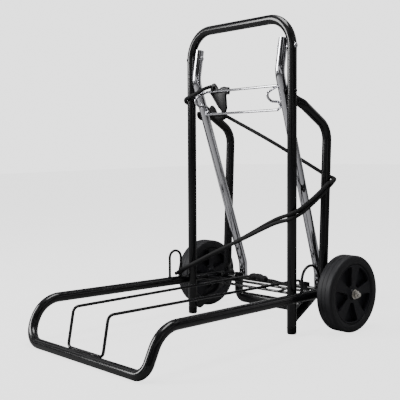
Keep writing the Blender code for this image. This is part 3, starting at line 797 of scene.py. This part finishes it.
def makeNut(side, word):
    face = wheel["mid"] + wheel["half"]
    inner = cart["axleR"] + 0.0003
    r, soft = washer["r"], washer["soft"]
    near, far = face + washer["start"], face + washer["end"]
    profile = [(inner, near), (r - soft, near), (r, near + soft), (r, far - soft), (r - soft, far),
               (inner, far), (inner, near)]
    profile = [(radius, side * depth) for radius, depth in profile]
    piece("axleWasher_" + word, lathe(profile, cart["axle"], 64), "zinc", "frame", "axle_washer_" + word)
    # hexagon with turned corners and a raised collar
    mesh = bmesh.new()
    across, tall, wide = nut["r"], nut["tall"], nut["collarR"]
    bmesh.ops.create_cone(mesh, cap_ends=True, segments=6, radius1=across, radius2=across, depth=tall,
                          matrix=Matrix.Rotation(math.radians(90), 4, "Y"))
    bmesh.ops.subdivide_edges(mesh, edges=mesh.edges, cuts=6, use_grid_fill=True)
    for vert in mesh.verts:
        radius = math.hypot(vert.co.y, vert.co.z)
        if radius > across * 0.90:
            limit = tall / 2 - (radius - across * 0.90) * 0.6
            vert.co.x = max(-limit, min(limit, vert.co.x))
    start = face + nut["start"]
    bmesh.ops.translate(mesh, verts=mesh.verts, vec=(side * (start + tall / 2), *cart["axle"][1:]))
    collar = [(inner, tall - 0.0006), (wide, tall - 0.0006), (wide, tall + 0.0008),
              (wide - 0.0006, tall + 0.0014), (inner + 0.0003, tall + 0.0018),
              (inner, tall + 0.0014), (inner, tall - 0.0006)]
    collar = [(radius, side * (start + depth)) for radius, depth in collar]
    piece("axleNut_" + word, joined([mesh, lathe(collar, cart["axle"], 48)]), "zinc", "frame",
          "axle_nut_" + word, smooth=25)


makeAxle()
for side, word in sides:
    makeSpacers(side, word)
    makeHub(side, word)
    makeTyre(side, word)
    makeNut(side, word)
print("wheels made")


# elastic cord and its hooks

cord = dict(r=0.0045, around=20, step=0.004)
wrapRoute = [
    (-0.1010, 0.0070, 0.5800), (-0.1130, -0.0060, 0.5740), (-0.1290, -0.0170, 0.5640),
    (-0.1500, -0.0190, 0.5570), (-0.1700, -0.0175, 0.5515), (-0.1855, -0.0040, 0.5450),
    (-0.1850, 0.0090, 0.5400)]
upperRoute = [
    (-0.0860, 0.0245, 0.5130), (0.0260, 0.0633, 0.4505), (0.0880, 0.1017, 0.4065),
    (0.1440, 0.1363, 0.3655), (0.1560, 0.1455, 0.3570), (0.1680, 0.1475, 0.3530),
    (0.1780, 0.1420, 0.3500), (0.1812, 0.1325, 0.3470)]
lowerRoute = [
    (0.1800, 0.1180, 0.3370), (0.1880, 0.0600, 0.3080), (0.1900, 0.0040, 0.2810),
    (0.1780, -0.0195, 0.2690), (0.1300, -0.0205, 0.2540), (0.0400, -0.0210, 0.2135),
    (-0.0600, -0.0210, 0.1690), (-0.1300, -0.0215, 0.1375), (-0.1720, -0.0245, 0.1190),
    (-0.1860, -0.0310, 0.1075), (-0.1915, -0.0340, 0.1045)]
strandGap = 0.0053
turnRoute = [
    (0.1795, 0.1400, 0.3492), (0.1822, 0.1310, 0.3462), (0.1818, 0.1235, 0.3415),
    (0.1800, 0.1170, 0.3365)]
hookKnotRoute = [
    (-0.0640, 0.0215, 0.5075), (-0.0740, 0.0185, 0.5020), (-0.0870, 0.0165, 0.5030),
    (-0.0980, 0.0165, 0.5110), (-0.1080, 0.0185, 0.5220), (-0.1180, 0.0230, 0.5300)]
tuckRoute = [
    (-0.1585, 0.0290, 0.5040), (-0.1600, 0.0250, 0.5050), (-0.1625, 0.0215, 0.5110),
    (-0.1605, 0.0205, 0.5190)]
deckKnotRoute = [
    (-0.044, 0.0850, 0.1005), (-0.020, 0.0880, 0.1015), (0.002, 0.0830, 0.1005),
    (0.020, 0.0760, 0.0995)]
wireHookRoute = [
    (0.0230, 0.0750, 0.1000), (0.0450, 0.0640, 0.1035), (0.0670, 0.0560, 0.1045),
    (0.1033, 0.0504, 0.1015), (0.1200, 0.0457, 0.0985), (0.1274, 0.0318, 0.0965),
    (0.1327, 0.0100, 0.0955), (0.1399, -0.0119, 0.0955)]
# each lump of cord: its thinnest radius, how much it swells, and in how many lumps
lumpForms = dict(hook=(0.0056, 0.0020, 2), deck=(0.0062, 0.0026, 3))
tuckR = 0.0068
wireHook = dict(r=0.0024, tipR=0.0034, tipSteps=9)


def strandRoute(lift):
    # one strand lies above the other at the right, and beside it from the middle on
    route = []
    for i, (x, y, z) in enumerate(lowerRoute):
        turn = math.radians(90) * min(max((i - 3) / 3, 0), 1)
        route.append((x, y + lift * math.sin(turn), z + lift * math.cos(turn)))
    return route


def makeCord(name, route, node):
    path = smoothPath(route, cord["step"])
    piece(name, sweep(path, cord["r"], cord["around"]), "cord_cover", "frame", node, smooth=60)


makeCord("cordWrap", wrapRoute, "cord_wrap")
makeCord("cordUpper", upperRoute, "cord_upper")
makeCord("cordLower_a", strandRoute(strandGap), "cord_lower_a")
makeCord("cordLower_b", strandRoute(-strandGap), "cord_lower_b")

hookForm = dict(thick=0.0070, y=0.0125, edge=0.0026)
hookOutline = [
    (-0.1180, 0.5650), (-0.1120, 0.5760), (-0.1080, 0.5870), (-0.0990, 0.5885), (-0.0925, 0.5820),
    (-0.0850, 0.5715), (-0.0760, 0.5765), (-0.0640, 0.5780), (-0.0535, 0.5725), (-0.0530, 0.5620),
    (-0.0590, 0.5560), (-0.0575, 0.5400), (-0.0560, 0.5240), (-0.0600, 0.5140), (-0.0700, 0.5120),
    (-0.0790, 0.5210), (-0.0890, 0.5370), (-0.1030, 0.5530)]


def slab(outline, y, thick, edge):
    # a moulded plate cut to an outline of X and Z, its edges rounded over
    return roundEdges(thickened([(x, y, z) for x, z in outline], (0, thick, 0)), edge, 3, 15)


def makeHook():
    # the plate, a raised rib down its near edge, and the nose that drops over the latch wire
    rib = [(-0.1090, 0.5600), (-0.1040, 0.5615), (-0.0760, 0.5270), (-0.0800, 0.5235)]
    nose = [(-0.0570, 0.5760), (-0.0490, 0.5750), (-0.0470, 0.5660), (-0.0490, 0.5570),
            (-0.0560, 0.5570)]
    parts = [slab(hookOutline, hookForm["y"], hookForm["thick"], hookForm["edge"]),
             slab(rib, hookForm["y"] - 0.0018, 0.0036, 0.0010),
             slab(nose, hookForm["y"] - 0.0010, hookForm["thick"] + 0.0010, 0.0014)]
    piece("cordHook", joined(parts), "hook_plastic", "stays", "cord_hook")


def makeCordTurn():
    # where the cord doubles back round the right rear leg, growing toward its end
    path = smoothPath(turnRoute, 0.003)
    growing = [0.0050 + 0.0026 * i / (len(path) - 1) for i in range(len(path))]
    mesh = sweep(path, growing, cord["around"], tip=0.002)
    piece("cordTurn", mesh, "cord_cover", "frame", smooth=60)


def makeHookCord():
    # the cord knotted through the hook's lower end, led toward the stay
    path = smoothPath(hookKnotRoute, 0.002)
    mesh = sweep(path, swelling(path, *lumpForms["hook"]), cord["around"], tip=0.002)
    piece("hookKnot", mesh, "cord_cover", "stays", smooth=60)
    # a turn of the same cord tucked between the post and the rear leg
    mesh = sweep(smoothPath(tuckRoute, 0.003), tuckR, cord["around"], tip=0.002)
    piece("cordTuck", mesh, "cord_cover", "frame", smooth=60)


def makeWireHook():
    # a lumpy length of knotted cord, and a bent wire hook with a thicker end
    path = smoothPath(deckKnotRoute, 0.0025)
    mesh = sweep(path, swelling(path, *lumpForms["deck"]), cord["around"], tip=0.002)
    piece("cordKnot", mesh, "cord_cover", "platform", "cord_knot", smooth=60)
    path = smoothPath(wireHookRoute, 0.003)
    tip = wireHook["tipSteps"]
    radii = [wireHook["r"]] * (len(path) - tip) + [wireHook["tipR"]] * tip
    piece("wireHook", sweep(path, radii, 16), "enamel", "platform", "wire_hook")


makeHook()
makeCordTurn()
makeHookCord()
makeWireHook()
print("cord made")


# floor, light and camera

studio = dict(paper=((0.26, 0.26, 0.26), (0.29, 0.29, 0.29)), paperGlow=2.1, reach=12.0,
              seen=2.4, dark=0.02, bright=1.3, patchScale=4.0, patchDetail=1.0,
              patchFrom=0.50, patchTo=0.62, middle=(0, 0, 0.40))
softboxes = (("leftBox", (-1.6, -2.0, 1.55), (0.8, 1.7), 95), ("topBox", (0.2, 0.1, 2.6), (1.5, 1.0), 55))


def makeFloor():
    mesh = bmesh.new()
    bmesh.ops.create_grid(mesh, x_segments=1, y_segments=1, size=studio["reach"])
    data = bpy.data.meshes.new("floor")
    mesh.to_mesh(data)
    mesh.free()
    floor = bpy.data.objects.new("floor", data)
    bpy.context.scene.collection.objects.link(floor)
    paper = Finish("paleFloor", {"Roughness": 0.9, "Specular IOR Level": 0.1})
    paper.feed("Base Color", paper.blend(paper.grain(3.0), *studio["paper"]))
    seen = paper.node("ShaderNodeLightPath", {}, {}, "Is Camera Ray")
    # the floor glows for the camera only, so that the metal still mirrors a dim one
    paper.feed("Emission Color", paper.blend(seen, (0, 0, 0), (1, 1, 1)))
    paper.shader.inputs["Emission Strength"].default_value = studio["paperGlow"]
    data.materials.append(paper.material)


def softbox(name, place, target, size, power):
    data = bpy.data.lights.new(name, "AREA")
    data.shape = "RECTANGLE"
    data.size, data.size_y = size
    data.energy = power
    lamp = bpy.data.objects.new(name, data)
    lamp.location = place
    aim = Vector(target) - Vector(place)
    lamp.rotation_euler = aim.to_track_quat("-Z", "Y").to_euler()
    bpy.context.scene.collection.objects.link(lamp)


def makeLight():
    # the camera sees an even pale backdrop; the metal mirrors a room of dark and bright patches
    world = bpy.data.worlds.new("studio")
    world.use_nodes = True
    tree = world.node_tree
    back = tree.nodes["Background"]
    back.inputs[0].default_value = (1, 1, 1, 1)
    path = tree.nodes.new("ShaderNodeLightPath")
    spot = tree.nodes.new("ShaderNodeTexCoord")
    patches = tree.nodes.new("ShaderNodeTexNoise")
    patches.inputs["Scale"].default_value = studio["patchScale"]
    patches.inputs["Detail"].default_value = studio["patchDetail"]
    room = tree.nodes.new("ShaderNodeMapRange")
    for name, value in (("From Min", studio["patchFrom"]), ("From Max", studio["patchTo"]),
                        ("To Min", studio["dark"]), ("To Max", studio["bright"])):
        room.inputs[name].default_value = value
    level = tree.nodes.new("ShaderNodeMapRange")
    level.inputs["To Max"].default_value = studio["seen"]
    tree.links.new(spot.outputs["Generated"], patches.inputs["Vector"])
    tree.links.new(patches.outputs[0], room.inputs["Value"])
    tree.links.new(room.outputs[0], level.inputs["To Min"])
    tree.links.new(path.outputs["Is Camera Ray"], level.inputs["Value"])
    tree.links.new(level.outputs[0], back.inputs[1])
    bpy.context.scene.world = world
    for name, place, size, power in softboxes:
        softbox(name, place, studio["middle"], size, power)


view = dict(place=(1.3227, -1.3410, 0.3999), azimuth=47.46, pitch=-3.038, roll=-0.297, lens=70.2)


def makeCamera():
    data = bpy.data.cameras.new("camera")
    data.lens = view["lens"]
    data.sensor_width = 36.0
    camera = bpy.data.objects.new("camera", data)
    turn = (Matrix.Rotation(math.radians(view["azimuth"]), 4, "Z")
            @ Matrix.Rotation(math.radians(90 + view["pitch"]), 4, "X")
            @ Matrix.Rotation(math.radians(view["roll"]), 4, "Z"))
    camera.matrix_world = stand @ Matrix.Translation(view["place"]) @ turn
    bpy.context.scene.collection.objects.link(camera)
    bpy.context.scene.camera = camera


makeFloor()
makeLight()
makeCamera()
